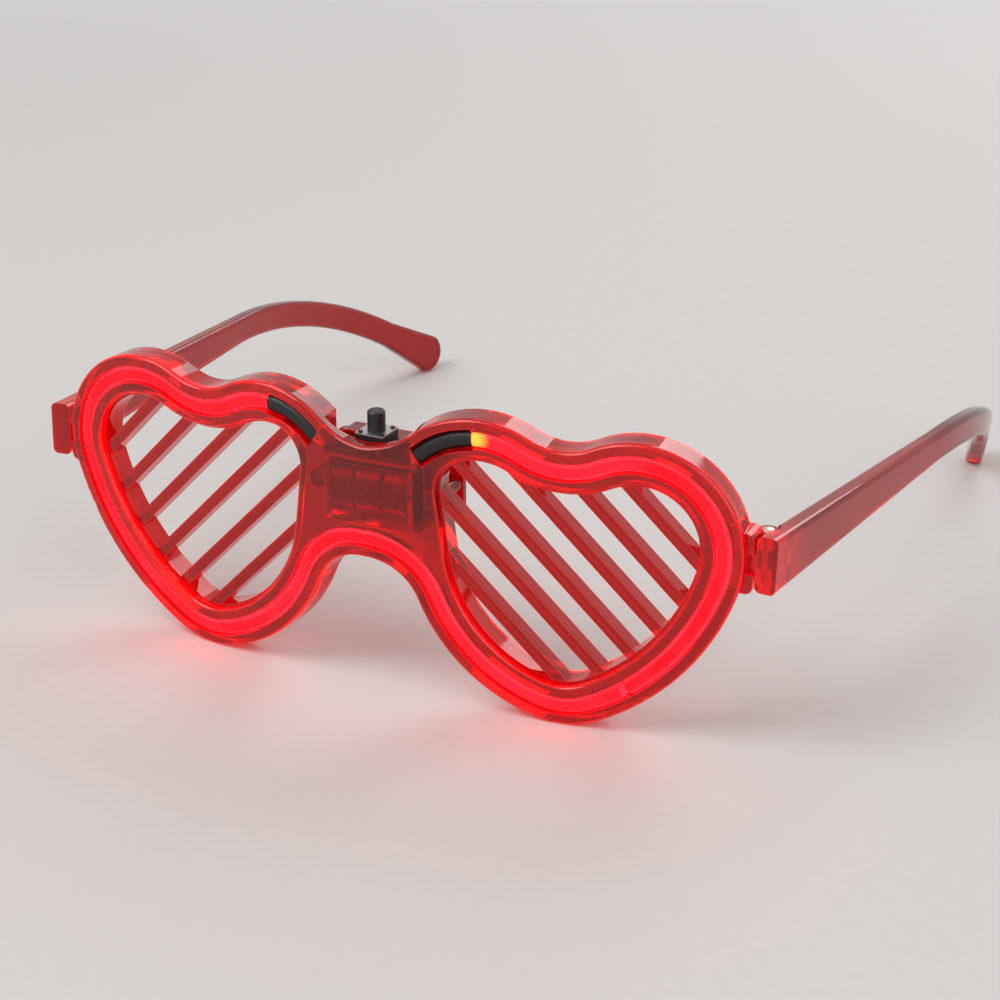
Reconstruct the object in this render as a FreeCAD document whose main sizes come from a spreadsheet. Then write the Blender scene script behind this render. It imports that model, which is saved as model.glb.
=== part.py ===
import FreeCAD, Part
import math
import os
import re
from collections import namedtuple

from FreeCAD import Placement, Rotation, Vector

# Light-up heart glasses: a clear red front with slats, glowing strips, a battery box and folding temples.
# X runs to the viewer's right, Y runs back along the temples and Z up. The floor is at zero.

SIZES = {
    # Front moulding, measured in its own half plane from the middle of the bridge
    "rim_width": 8.0,
    "rim_depth": 6.5,
    "rim_edge_round": 0.9,
    "rim_rear_round": 0.4,
    "wrap_angle": 7.0,
    "inner_lobe_across": 23.0,
    "inner_lobe_height": 39.7,
    "inner_lobe_radius": 16.5,
    "cleft_radius": 17.0,
    "outer_lobe_across": 54.0,
    "outer_lobe_height": 39.2,
    "outer_lobe_radius": 16.2,
    "flank_radius": 47.0,
    "tip_across": 39.3,
    "tip_radius": 14.4,
    "inner_flank_radius": 32.0,
    "arch_height": 17.4,
    "arch_radius": 15.8,
    "dip_radius": 19.5,
    "bridge_half_width": 14.8,
    "bridge_corner_radius": 7.0,
    # Light strips in their channel, and the lamps at their ends
    "strip_width": 3.0,
    "strip_depth": 2.8,
    "strip_edge_round": 1.15,
    "strip_recess": 0.2,
    "strip_clearance": 0.2,
    "strip_joint_gap": 1.5,
    "strip_joint_before_tip": 7.3,
    "lamp_end_angle": 93.0,
    "sleeve_radius": 1.9,
    "sleeve_wall": 0.35,
    "sleeve_recess": 0.1,
    "sleeve_end_across": 11.0,
    "trough_clearance": 0.2,
    "lamp_radius": 1.4,
    "lamp_length": 4.0,
    "lead_radius": 0.25,
    "lead_spacing": 1.0,
    "lead_bend_radius": 1.2,
    "lead_on_board": 1.3,
    "lead_window": 2.0,
    # Slats across each heart
    "slat_count": 6,
    "slat_pitch": 7.7,
    "slat_first": 33.8,
    "slat_angle": 45.0,
    "slat_width": 2.3,
    "slat_depth": 3.4,
    "slat_setback": 1.6,
    "ledge_width": 0.6,
    # Battery box behind the bridge
    "cell_count": 3,
    "cell_radius": 5.8,
    "cell_height": 5.4,
    "cell_cap_radius": 5.0,
    "cell_cap_height": 0.5,
    "cell_edge_round": 0.4,
    "cell_cap_round": 0.2,
    "cell_clearance": 0.3,
    "contact_thickness": 0.4,
    "contact_dimple_height": 0.5,
    "contact_dimple_radius": 1.6,
    "contact_width": 7.0,
    "contact_height": 10.0,
    "contact_tab_width": 2.0,
    "contact_tab_setback": 5.5,
    "box_height": 41.4,
    "box_front": 1.5,
    "box_front_wall": 0.9,
    "box_wall": 1.2,
    "box_rim": 1.9,
    "box_corner_radius": 1.6,
    "cover_thickness": 1.5,
    "cover_overhang": 0.2,
    "cover_corner_radius": 3.0,
    "cover_edge_round": 0.5,
    "boss_across": 12.2,
    "boss_radius": 1.9,
    "boss_start": 4.0,
    "screw_radius": 0.75,
    "screw_length": 5.0,
    "screw_head_radius": 1.4,
    "screw_head_height": 0.9,
    "screw_slot_width": 0.4,
    "screw_slot_depth": 0.5,
    "screw_hole_clearance": 0.15,
    "screw_tip_room": 1.0,
    # Circuit board and push switch on top of the box
    "board_thickness": 1.0,
    "board_front": 3.4,
    "board_width": 6.4,
    "board_clearance": 0.2,
    "chip_radius": 1.0,
    "chip_height": 0.6,
    "chip_across": 6.0,
    "switch_side": 6.0,
    "switch_base_height": 3.2,
    "switch_cover_height": 0.3,
    "switch_floor": 1.2,
    "switch_well_radius": 2.5,
    "dome_radius": 2.2,
    "dome_height": 0.25,
    "dome_top_radius": 0.8,
    "dome_thickness": 0.1,
    "stem_radius": 1.75,
    "stem_height": 4.0,
    "stem_chamfer": 0.3,
    "stem_clearance": 0.05,
    "flange_radius": 2.3,
    "press_travel": 0.25,
    "peg_offset": 2.25,
    "peg_radius": 0.45,
    "peg_height": 0.25,
    "pin_width": 0.7,
    "pin_thickness": 0.2,
    "pin_spacing": 4.5,
    "pin_height": 2.0,
    # Hinges
    "hinge_across": 75.0,
    "hinge_back": 17.2,
    "hinge_height": 38.4,
    "hinge_radius": 2.2,
    "hinge_clearance": 0.3,
    "hinge_pin_radius": 0.75,
    "hinge_pin_head_radius": 1.3,
    "hinge_pin_head_height": 0.5,
    "hinge_running_fit": 0.05,
    "knuckle_height": 3.8,
    "knuckle_end_gap": 0.2,
    "lug_height": 12.0,
    "lug_width": 8.0,
    "lug_inset": 0.2,
    "lug_front": 10.5,
    "lug_rear": 15.6,
    "lug_corner_radius": 1.6,
    "lug_recess_side": 4.0,
    "lug_recess_depth": 1.0,
    # Temples
    "temple_splay": 5.8,
    "temple_drop": 3.1,
    "arm_overlap": 6.5,
    "arm_length": 74.6,
    "arm_inner_gap": 0.8,
    "arm_front_height": 11.0,
    "arm_front_thickness": 4.2,
    "arm_rear_height": 6.5,
    "arm_rear_thickness": 3.6,
    "arm_corner_radius": 1.2,
    "bend_radius": 114.4,
    "bend_angle": 35.0,
    "bend_lean": 33.9,
    "tail_length": 21.3,
    "tail_height": 10.4,
    "tail_thickness": 4.2,
    "tail_tip_radius": 4.9,
    "tail_end_round": 0.9,
}

doc = FreeCAD.newDocument("heart_glasses")
dims = doc.addObject("Spreadsheet::Sheet", "dims")
for row, (name, value) in enumerate([*SIZES.items(), ("front_y", 0)], 1):
    dims.set(f"A{row}", name)
    dims.set(f"B{row}", str(value))
    dims.setAlias(f"B{row}", name)
doc.recompute()

TURNS = {
    "y": Rotation(Vector(1, 0, 0), -90),
    "z": Rotation(),
}
Arc = namedtuple("Arc", "centre radius start end sense")
SAME = 1e-4


def size(name):
    return float(dims.get(name))


def formula(text):
    """Point every size named in the text at its cell."""
    return re.sub(r"[a-z]\w*", r"dims.\g<0>", text)


def bind(item, prop, text):
    item.setExpression(prop, formula(text))


def measured(text):
    """What a formula comes to, for a sketch or a path."""
    return float(dims.evalExpression(formula(text)))


def put(item, x, y, z, turn=TURNS["z"]):
    """Turn a piece and tie its place to the sizes."""
    item.Placement = Placement(Vector(), turn)
    for axis, text in zip("xyz", (x, y, z)):
        bind(item, "Placement.Base." + axis, text)
    return item


def box(name, x, y, z):
    """A block given by its low and high side along each axis."""
    item = doc.addObject("Part::Box", name)
    for prop, axis, (low, high) in zip(("Length", "Width", "Height"), "xyz", (x, y, z)):
        bind(item, prop, f"({high}) - ({low})")
        bind(item, "Placement.Base." + axis, low)
    return item


def rod(name, radius, x, y, z, length, along="z"):
    """A cylinder that starts at a point and runs along one axis."""
    item = doc.addObject("Part::Cylinder", name)
    bind(item, "Radius", radius)
    bind(item, "Height", length)
    return put(item, x, y, z, TURNS[along])


def cone(name, radius, top_radius, x, y, z, height, turn=TURNS["z"]):
    """A cone cut off flat, from its larger end."""
    item = doc.addObject("Part::Cone", name)
    bind(item, "Radius1", radius)
    bind(item, "Radius2", top_radius)
    bind(item, "Height", height)
    return put(item, x, y, z, turn)


def dome(name, radius, x, y, z, height, along="z"):
    """The upper half of a flattened ball."""
    item = doc.addObject("Part::Ellipsoid", name)
    item.Angle1 = 0
    bind(item, "Radius1", height)
    bind(item, "Radius2", radius)
    bind(item, "Radius3", radius)
    return put(item, x, y, z, TURNS[along])


def join(name, *pieces):
    item = doc.addObject("Part::MultiFuse", name)
    item.Shapes = list(pieces)
    return item


def carve(name, base, *tools):
    item = doc.addObject("Part::Cut", name)
    item.Base = base
    item.Tool = tools[0] if len(tools) == 1 else join(name + "_tools", *tools)
    return item


def overlap(name, first, second):
    item = doc.addObject("Part::MultiCommon", name)
    item.Shapes = [first, second]
    return item


def mirror(name, source):
    item = doc.addObject("Part::Mirroring", name)
    item.Source = source
    item.Normal = Vector(1, 0, 0)
    return item


# Tangent arcs

def meet(first, first_reach, second, second_reach, side):
    """The point at given distances from two others, on one side of the line between them."""
    line = second - first
    along = (first_reach**2 - second_reach**2 + line.Length**2) / (2 * line.Length)
    across = math.sqrt(first_reach**2 - along**2)
    line.normalize()
    return first + line * along + Vector(-line.y, line.x) * (side * across)


def trace(circles, start, end):
    """Arcs along tangent circles, each a centre, a radius and 1 for a bulge or -1 for a hollow."""
    arcs = []
    angle = start
    for index, (centre, radius, sense) in enumerate(circles):
        leave = end
        arrive = end
        if index + 1 < len(circles):
            next_centre, next_radius, next_sense = circles[index + 1]
            way = next_centre - centre
            if sense == next_sense and radius < next_radius:
                way = way * -1
            leave = math.atan2(way.y, way.x)
            arrive = leave if sense == next_sense else leave + math.pi
        turn = (leave - angle) % (2 * math.pi)
        if sense > 0:
            turn -= 2 * math.pi
        arcs.append(Arc(centre, radius, angle, angle + turn, sense))
        angle = arrive
    return arcs


def shifted(arcs, distance):
    """The same arcs moved outwards by a distance."""
    return [arc._replace(radius=arc.radius + arc.sense * distance) for arc in arcs]


def point_on(arc, angle):
    return arc.centre + Vector(math.cos(angle), math.sin(angle)) * arc.radius


def curve(arc):
    circle = Part.Circle(arc.centre, Vector(0, 0, 1), arc.radius)
    return Part.ArcOfCircle(circle, min(arc.start, arc.end), max(arc.start, arc.end))


def closed(arcs):
    """Curves of a run of arcs, closed by a straight line from its end to its start."""
    end = point_on(arcs[-1], arcs[-1].end)
    start = point_on(arcs[0], arcs[0].start)
    return [curve(arc) for arc in arcs] + [Part.LineSegment(end, start)]


def band(arcs, half_width):
    """Outline of a strip that follows the arcs."""
    outer = shifted(arcs, half_width)
    inner = shifted(arcs, -half_width)
    first = Part.LineSegment(point_on(inner[0], inner[0].start), point_on(outer[0], outer[0].start))
    last = Part.LineSegment(point_on(outer[-1], outer[-1].end), point_on(inner[-1], inner[-1].end))
    return [curve(arc) for arc in outer + inner] + [first, last]


rim_half = size("rim_width") / 2
tip = Vector(size("tip_across"), size("tip_radius") + rim_half)
arch = Vector(0, size("arch_height"))
inner_lobe = Vector(size("inner_lobe_across"), size("inner_lobe_height"))
outer_lobe = Vector(size("outer_lobe_across"), size("outer_lobe_height"))
cleft = meet(
    inner_lobe, size("cleft_radius") + size("inner_lobe_radius"),
    outer_lobe, size("cleft_radius") + size("outer_lobe_radius"), 1)
flank = meet(
    outer_lobe, size("flank_radius") - size("outer_lobe_radius"),
    tip, size("flank_radius") - size("tip_radius"), -1)
inner_flank = meet(
    tip, size("inner_flank_radius") - size("tip_radius"),
    arch, size("inner_flank_radius") + size("arch_radius"), -1)
dip_reach = size("dip_radius") + size("inner_lobe_radius")
dip = inner_lobe + Vector(-inner_lobe.x, math.sqrt(dip_reach**2 - inner_lobe.x**2))

# The middle line of the rim, from the top of the bridge round the heart to the nose arch
heart_circles = [
    (inner_lobe, size("inner_lobe_radius"), 1),
    (cleft, size("cleft_radius"), -1),
    (outer_lobe, size("outer_lobe_radius"), 1),
    (flank, size("flank_radius"), 1),
    (tip, size("tip_radius"), 1),
    (inner_flank, size("inner_flank_radius"), 1),
]
spine = trace(
    [(dip, size("dip_radius"), -1)] + heart_circles + [(arch, size("arch_radius"), -1)],
    -math.pi / 2, math.pi / 2)

# The heart opening follows the rim and is closed by a rounded corner and a straight side at the bridge
corner_radius = size("bridge_corner_radius")
corner_across = size("bridge_half_width") + corner_radius
corner_reach = size("inner_lobe_radius") - rim_half - corner_radius
corner = Vector(corner_across, inner_lobe.y + math.sqrt(corner_reach**2 - (corner_across - inner_lobe.x)**2))
side_way = corner - inner_flank
side_spread = math.acos((size("inner_flank_radius") - rim_half - corner_radius) / side_way.Length)
side_angle = math.atan2(side_way.y, side_way.x) + side_spread
opening = trace(
    [(corner, corner_radius, 1)] + [
        (centre, radius - sense * rim_half, sense) for centre, radius, sense in heart_circles],
    side_angle, side_angle)


# Sketches and pads

def body_of(name, place=Placement()):
    body = doc.addObject("PartDesign::Body", name)
    body.Placement = place
    return body


def sketch_on(body, name, role, curves, offset=Placement()):
    plane = next(item for item in body.Origin.OriginFeatures if item.Role == role)
    sketch = body.newObject("Sketcher::SketchObject", name)
    sketch.AttachmentSupport = (plane, [""])
    sketch.MapMode = "FlatFace"
    sketch.AttachmentOffset = offset
    sketch.addGeometry(curves, False)
    return sketch


def extrude(body, name, sketch, length):
    """A pad that runs back from a sketch on the front plane."""
    pad = body.newObject("PartDesign::Pad", name)
    pad.Profile = sketch
    pad.Reversed = True
    bind(pad, "Length", length)
    doc.recompute()
    return pad


def sink(body, name, sketch, depth):
    pocket = body.newObject("PartDesign::Pocket", name)
    pocket.Profile = sketch
    bind(pocket, "Length", depth)
    return pocket


def soften(body, name, feature, radius, chosen):
    """Round the edges that the test picks."""
    names = [f"Edge{number}" for number, edge in enumerate(feature.Shape.Edges, 1) if chosen(edge)]
    fillet = body.newObject("PartDesign::Fillet", name)
    fillet.Base = (feature, names)
    bind(fillet, "Radius", radius)
    return fillet


def edge_at(depth):
    """Picks the edges that lie at one depth behind the front plane."""
    def chosen(edge):
        spread = edge.BoundBox
        return abs(spread.YMin - depth) < SAME and abs(spread.YMax - depth) < SAME
    return chosen


def curved_edge_at(depth):
    """Picks the round ones among them."""
    at_depth = edge_at(depth)
    return lambda edge: at_depth(edge) and not isinstance(edge.Curve, Part.Line)


def bent_path(points, radius):
    """Straight runs through the points, joined by tangent arcs."""
    edges = []
    start = points[0]
    for before, here, after in zip(points, points[1:], points[2:]):
        back = (before - here).normalize()
        onward = (after - here).normalize()
        half_turn = (math.pi - back.getAngle(onward)) / 2
        reach = radius * math.tan(half_turn)
        middle = (back + onward).normalize()
        arc_start = here + back * reach
        arc_end = here + onward * reach
        arc_middle = here + middle * (radius / math.cos(half_turn) - radius)
        edges.append(Part.LineSegment(start, arc_start).toShape())
        edges.append(Part.Arc(arc_start, arc_middle, arc_end).toShape())
        start = arc_end
    edges.append(Part.LineSegment(start, points[-1]).toShape())
    return Part.Wire(edges)


def tube(path, radius):
    """A round solid along a path."""
    first = path.OrderedEdges[0]
    start = first.valueAt(first.FirstParameter)
    way = first.tangentAt(first.FirstParameter)
    if first.Orientation == "Reversed":
        start = first.valueAt(first.LastParameter)
        way = first.tangentAt(first.LastParameter)
    ring = Part.Wire([Part.Circle(start, way, radius).toShape()])
    return path.makePipeShell([ring], True, False)


def shaped(name, shape, place=Placement()):
    item = doc.addObject("Part::Feature", name)
    item.Shape = shape
    item.Placement = place
    return item


# Temples

def rounded_section(height, thickness, radius):
    """A tall rounded rectangle about the middle."""
    half_thick = thickness / 2 - radius
    half_tall = height / 2 - radius
    centres = [
        Vector(half_thick, half_tall), Vector(-half_thick, half_tall),
        Vector(-half_thick, -half_tall), Vector(half_thick, -half_tall)]
    arcs = []
    for number, centre in enumerate(centres):
        start = number * math.pi / 2
        circle = Part.Circle(centre, Vector(0, 0, 1), radius)
        arcs.append(Part.ArcOfCircle(circle, start, start + math.pi / 2))
    pairs = zip(arcs, arcs[1:] + arcs[:1])
    sides = [Part.LineSegment(here.EndPoint, after.StartPoint) for here, after in pairs]
    return arcs + sides


def temple_arm():
    """Arm, bend and tail, in a frame at the hinge with X back along the arm, Y inwards and Z up."""
    radius = size("arm_corner_radius")
    middle = Vector(-size("arm_inner_gap") - size("arm_front_thickness") / 2, 0, 0)
    lean = math.radians(size("bend_lean"))
    bend_centre = Vector(math.sin(lean), -math.cos(lean)) * size("bend_radius")
    bend_axis = Vector(math.cos(lean), math.sin(lean))
    splay = Rotation(Vector(0, 0, 1), 90 - size("temple_splay"))
    drop = Rotation(Vector(0, 1, 0), size("temple_drop"))
    hinge = Vector(size("hinge_across"), size("hinge_back"), size("hinge_height"))
    body = body_of("temple_arm", Placement(hinge, splay * drop))

    def section(name, height, thickness, place):
        curves = rounded_section(size(height), size(thickness), radius)
        return sketch_on(body, name, "YZ_Plane", curves, place)

    def along(distance):
        return Placement(middle + Vector(0, 0, distance), Rotation())

    def around(angle):
        """Where the bend carries the section that starts it."""
        centre = middle + bend_centre + Vector(0, 0, size("arm_length"))
        swing = Placement(Vector(), Rotation(bend_axis, angle), centre)
        return swing * along(size("arm_length"))

    front = section("arm_front", "arm_front_height", "arm_front_thickness", along(-size("arm_overlap")))
    rear = section("arm_rear", "arm_rear_height", "arm_rear_thickness", along(size("arm_length")))
    arm = body.newObject("PartDesign::AdditiveLoft", "arm")
    arm.Profile = front
    arm.Sections = [rear]
    arm.Ruled = True
    bend_start = section("bend_start", "arm_rear_height", "arm_rear_thickness", along(size("arm_length")))
    axis_line = Part.LineSegment(bend_centre - bend_axis * radius, bend_centre + bend_axis * radius)
    bend_start.addGeometry(axis_line, True)
    bend = body.newObject("PartDesign::Revolution", "bend")
    bend.Profile = bend_start
    bend.ReferenceAxis = (bend_start, ["Axis0"])
    bind(bend, "Angle", "bend_angle")
    bend_place = around(size("bend_angle"))
    beyond = Placement(Vector(0, 0, size("tail_length")), Rotation())
    bend_end = section("bend_end", "arm_rear_height", "arm_rear_thickness", bend_place)
    tail_end = section("tail_end", "tail_height", "tail_thickness", bend_place * beyond)
    tail = body.newObject("PartDesign::AdditiveLoft", "tail")
    tail.Profile = bend_end
    tail.Sections = [tail_end]
    tail.Ruled = True
    doc.recompute()

    # What is cut away round the tip, drawn on the tail's side with the tip at zero
    tip_radius = size("tail_tip_radius")
    quarter = math.pi / 2
    tip_circle = Part.Circle(Vector(-tip_radius, 0), Vector(0, 0, 1), tip_radius)
    tip_arc = Part.ArcOfCircle(tip_circle, -quarter, quarter)
    around_tip = [(-1, 1), (-1, 2), (1, 2), (1, -2), (-1, -2), (-1, -1)]
    corners = [Vector(across, tall) * tip_radius for across, tall in around_tip]
    outline = [tip_arc] + [Part.LineSegment(here, after) for here, after in zip(corners, corners[1:])]
    side_view = Placement(Vector(), Rotation(Vector(0, 1, 0), -90))
    tip_waste = sketch_on(body, "tip_waste", "YZ_Plane", outline, bend_place * beyond * side_view)
    tip_cut = sink(body, "tip_cut", tip_waste, "4 * tail_thickness")
    tip_cut.Midplane = True
    doc.recompute()
    tip_face = max(tip_cut.Shape.Faces, key=lambda face: face.CenterOfMass.x - face.CenterOfMass.z)

    def at_tip(edge):
        return any(edge.isSame(other) for other in tip_face.Edges)

    soften(body, "tail_round", tip_cut, "tail_end_round", at_tip)
    doc.recompute()
    return body


arm = temple_arm()
hinge_at = ("hinge_across", "hinge_back")
knuckle_low = "hinge_height - knuckle_height / 2"
knuckle = rod("knuckle", "hinge_radius", *hinge_at, knuckle_low, "knuckle_height")
right_temple = carve(
    "right_temple", join("temple_blank", arm, knuckle),
    rod("upper_ear_room", "hinge_radius + hinge_clearance", *hinge_at,
        "hinge_height + knuckle_height / 2", "lug_height"),
    rod("lower_ear_room", "hinge_radius + hinge_clearance", *hinge_at,
        "hinge_height - knuckle_height / 2 - lug_height", "lug_height"),
    rod("temple_pin_hole", "hinge_pin_radius + hinge_running_fit", *hinge_at, knuckle_low, "knuckle_height"))
left_temple = mirror("left_temple", right_temple)


# Hinge lugs and pins

ear_low = "hinge_height - lug_height / 2 + lug_corner_radius"
ear_high = "hinge_height + lug_height / 2 - lug_corner_radius"
lug_outer = "hinge_across - lug_inset"
lug_middle = lug_outer + " - lug_width / 2"
lug_block = put(body_of("lug_block"), lug_middle, "lug_front", "hinge_height")
lug_section = rounded_section(size("lug_height"), size("lug_width"), size("lug_corner_radius"))
lug_outline = sketch_on(lug_block, "lug_outline", "XZ_Plane", lug_section)
extrude(lug_block, "lug_pad", lug_outline, "lug_rear - lug_front")
lug = carve(
    "lug", join(
        "lug_blank", lug_block,
        box("ear_web", ("hinge_across - hinge_radius", lug_outer),
            ("lug_rear - hinge_radius", "hinge_back"),
            (ear_low, ear_high)),
        rod("ear_barrel", "hinge_radius", *hinge_at, ear_low, "lug_height - 2 * lug_corner_radius")),
    box("lug_recess", (lug_middle, lug_middle + " + lug_recess_side"),
        ("lug_front", "lug_front + lug_recess_depth"),
        ("hinge_height - lug_recess_side / 2", "hinge_height + lug_recess_side / 2")),
    rod("knuckle_room", "hinge_radius + hinge_clearance", *hinge_at,
        knuckle_low + " - knuckle_end_gap", "knuckle_height + 2 * knuckle_end_gap"),
    rod("lug_pin_hole", "hinge_pin_radius", *hinge_at, ear_low, "lug_height"))
right_hinge_pin = join(
    "right_hinge_pin",
    rod("hinge_pin_shank", "hinge_pin_radius", *hinge_at, ear_low, "lug_height - 2 * lug_corner_radius"),
    dome("hinge_pin_head", "hinge_pin_head_radius", *hinge_at, ear_high, "hinge_pin_head_height"))
left_hinge_pin = mirror("left_hinge_pin", right_hinge_pin)


# Front moulding

half_plane = Placement(Vector(), Rotation(Vector(0, 0, 1), size("wrap_angle")))
right_space = box(
    "right_space", ("0", "2 * hinge_across"), ("-hinge_across", "hinge_across"), ("0", "2 * hinge_across"))


def half_body(name):
    """A body in the plane of the right half of the front."""
    body = body_of(name, half_plane)
    bind(body, "Placement.Rotation.Angle", "wrap_angle")
    return body


def to_middle(name, piece):
    """A piece of the right half, cut off where it meets its twin."""
    return overlap(name, piece, right_space)


def behind(depth):
    return Placement(Vector(0, 0, -depth), Rotation())


dip_arc, lobe_arc, cleft_arc, outer_arc, flank_arc, tip_arc, inner_arc, arch_arc = spine
lamp_angle = math.radians(size("lamp_end_angle"))
lit_lobe = lobe_arc._replace(start=lamp_angle)
sleeved_lobe = lobe_arc._replace(end=lamp_angle)
sleeved_dip = dip_arc._replace(start=math.asin(size("sleeve_end_across") / size("dip_radius")) - math.pi / 2)
sleeve_arcs = [sleeved_dip, sleeved_lobe]
lit_arcs = [lit_lobe, cleft_arc, outer_arc, flank_arc, tip_arc, inner_arc, arch_arc]

half = half_body("frame_half")
ledge = shifted(opening, -size("ledge_width"))
plate_sketch = sketch_on(half, "plate_outline", "XZ_Plane", closed(shifted(spine, rim_half)) + closed(ledge))
extrude(half, "plate", plate_sketch, "rim_depth")
window = sink(half, "window", sketch_on(half, "window_outline", "XZ_Plane", closed(opening)), "slat_setback")
doc.recompute()
front_round = soften(half, "front_round", window, "rim_edge_round", curved_edge_at(0))
doc.recompute()
soften(half, "rear_round", front_round, "rim_rear_round", curved_edge_at(size("rim_depth")))
right_side = join("right_side", to_middle("right_plate", half), lug)
left_side = mirror("left_side", right_side)


def groove(name, arcs, half_width, depth):
    """Room for a piece that follows the arcs, open at the front."""
    body = half_body(name)
    outline = sketch_on(body, name + "_outline", "XZ_Plane", band(arcs, half_width))
    extrude(body, name + "_pad", outline, depth)
    return body


channel_half = measured("strip_width / 2 + strip_clearance")
trough_half = measured("sleeve_radius + trough_clearance")
channel = groove("channel", lit_arcs, channel_half, "strip_recess + strip_depth")
trough = groove("trough", sleeve_arcs, trough_half, "sleeve_recess + 2 * sleeve_radius")
right_grooves = to_middle("right_grooves", join("groove_runs", channel, trough))
left_grooves = mirror("left_grooves", right_grooves)


# Battery box

cell_stack = "cell_count * cell_height / 2"
room_half = cell_stack + " + contact_thickness + contact_dimple_height"
room_front = "box_front + box_front_wall"
room_middle = room_front + " + cell_radius + cell_clearance"
room_rear = room_front + " + 2 * (cell_radius + cell_clearance)"
room_low = "box_height - cell_radius - cell_clearance"
room_high = "box_height + cell_radius + cell_clearance"
board_low = room_high + " + box_wall"
board_high = board_low + " + board_thickness"
board_rear = "board_front + board_width"
board_half = room_half + " + contact_thickness / 2"
tab_front = room_front + " + contact_tab_setback"
tab_rear = tab_front + " + contact_tab_width"
cover_rear = room_rear + " + cover_thickness"
above_all = board_high + " + inner_lobe_radius"


def both_sides(name, make):
    """The same tool on both sides of the middle."""
    return [make(name + "_right", 1), make(name + "_left", -1)]


def sided(low, high, side):
    """Low and high sides of a block on the right, or of its twin on the left."""
    return (low, high) if side > 0 else (f"-({high})", f"-({low})")


def boss(name, side):
    return rod(name, "boss_radius", f"{side} * boss_across", "boss_start", "box_height",
               f"{room_rear} - boss_start", "y")


def pilot_hole(name, side):
    depth = "screw_length + screw_tip_room"
    start = f"{cover_rear} - ({depth})"
    return rod(name, "screw_radius", f"{side} * boss_across", start, "box_height", depth, "y")


def tab_slot(name, side):
    across = sided(room_half + " - contact_thickness - board_clearance", room_half, side)
    return box(name, across, (f"{tab_front} - board_clearance", f"{tab_rear} + board_clearance"),
               (room_high, board_low))


housing_low = room_low + " - box_wall"
housing_high = board_low + " + box_rim"
housing = put(body_of("housing"), "0", "box_front", f"({housing_low} + {housing_high}) / 2")
housing_section = rounded_section(
    measured(f"{housing_high} - ({housing_low})"), 2 * measured(room_half + " + box_wall"),
    size("box_corner_radius"))
housing_outline = sketch_on(housing, "housing_outline", "XZ_Plane", housing_section)
extrude(housing, "housing_pad", housing_outline, f"{room_rear} - box_front")

cover_body = put(body_of("cover_plate"), "0", room_rear, "box_height")
cover_section = rounded_section(
    2 * measured("cell_radius + cell_clearance + box_wall + cover_overhang"),
    2 * measured("boss_across + boss_radius + cover_overhang"), size("cover_corner_radius"))
cover_outline = sketch_on(cover_body, "cover_outline", "XZ_Plane", cover_section)
cover_pad = extrude(cover_body, "cover_pad", cover_outline, "cover_thickness")
soften(cover_body, "cover_round", cover_pad, "cover_edge_round", edge_at(size("cover_thickness")))


def cover_hole(name, side):
    return rod(name, "screw_radius + screw_hole_clearance", f"{side} * boss_across", room_rear, "box_height",
               "cover_thickness", "y")


def screw(name, side):
    across = f"{side} * boss_across"
    shank = rod(name + "_shank", "screw_radius", across, cover_rear + " - screw_length", "box_height",
                "screw_length", "y")
    head = dome(name + "_head", "screw_head_radius", across, cover_rear, "box_height",
                "screw_head_height", "y")
    head_end = cover_rear + " + screw_head_height"
    slot_depth = (head_end + " - screw_slot_depth", head_end)
    narrow = "screw_slot_width / 2"
    wide = "screw_head_radius / 2"
    return carve(
        name, join(name + "_blank", shank, head),
        box(name + "_slot_flat", (f"{across} - {wide}", f"{across} + {wide}"), slot_depth,
            (f"box_height - {narrow}", f"box_height + {narrow}")),
        box(name + "_slot_upright", (f"{across} - {narrow}", f"{across} + {narrow}"), slot_depth,
            (f"box_height - {wide}", f"box_height + {wide}")))


battery_cover = carve("battery_cover", cover_body, *both_sides("cover_hole", cover_hole))
cover_screws = join("cover_screws", *both_sides("screw", screw))


# Button cells and their contacts

def button_cell(number):
    """A can with rounded edges and a smaller cap at its end, drawn facing back and turned to face right."""
    name = f"button_cell_{number}"
    cell = put(body_of(name), f"cell_height * {number - 1} - {cell_stack}", room_middle, "box_height",
               Rotation(Vector(0, 0, 1), -90))

    def disc(part, radius, length):
        circle = Part.Circle(Vector(), Vector(0, 0, 1), size(radius))
        outline = sketch_on(cell, f"{part}_outline_{number}", "XZ_Plane", [circle])
        return extrude(cell, f"{part}_{number}", outline, length)

    can = disc("can", "cell_radius", "cell_height - cell_cap_height")
    soften(cell, f"can_round_{number}", can, "cell_edge_round", lambda edge: edge.Closed)
    cap = disc("cap", "cell_cap_radius", "cell_height")
    soften(cell, f"cap_round_{number}", cap, "cell_cap_round", edge_at(size("cell_height")))
    return cell


def contact(name, side):
    across = sided(room_half + " - contact_thickness", room_half, side)
    plate = box(name + "_plate", across,
                (f"{room_middle} - contact_width / 2", f"{room_middle} + contact_width / 2"),
                ("box_height - contact_height / 2", "box_height + contact_height / 2"))
    tab = box(name + "_tab", across, (tab_front, tab_rear), ("box_height", board_low))
    dimple = cone(name + "_dimple", "contact_dimple_radius", "contact_dimple_radius / 2",
                  f"{side} * ({room_half} - contact_thickness)", room_middle, "box_height",
                  "contact_dimple_height", Rotation(Vector(0, 1, 0), -90 * side))
    return join(name, plate, tab, dimple)


cells = [button_cell(number) for number in range(1, int(size("cell_count")) + 1)]
positive_contact = contact("positive_contact", 1)
negative_contact = contact("negative_contact", -1)


# Circuit board and push switch

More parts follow.
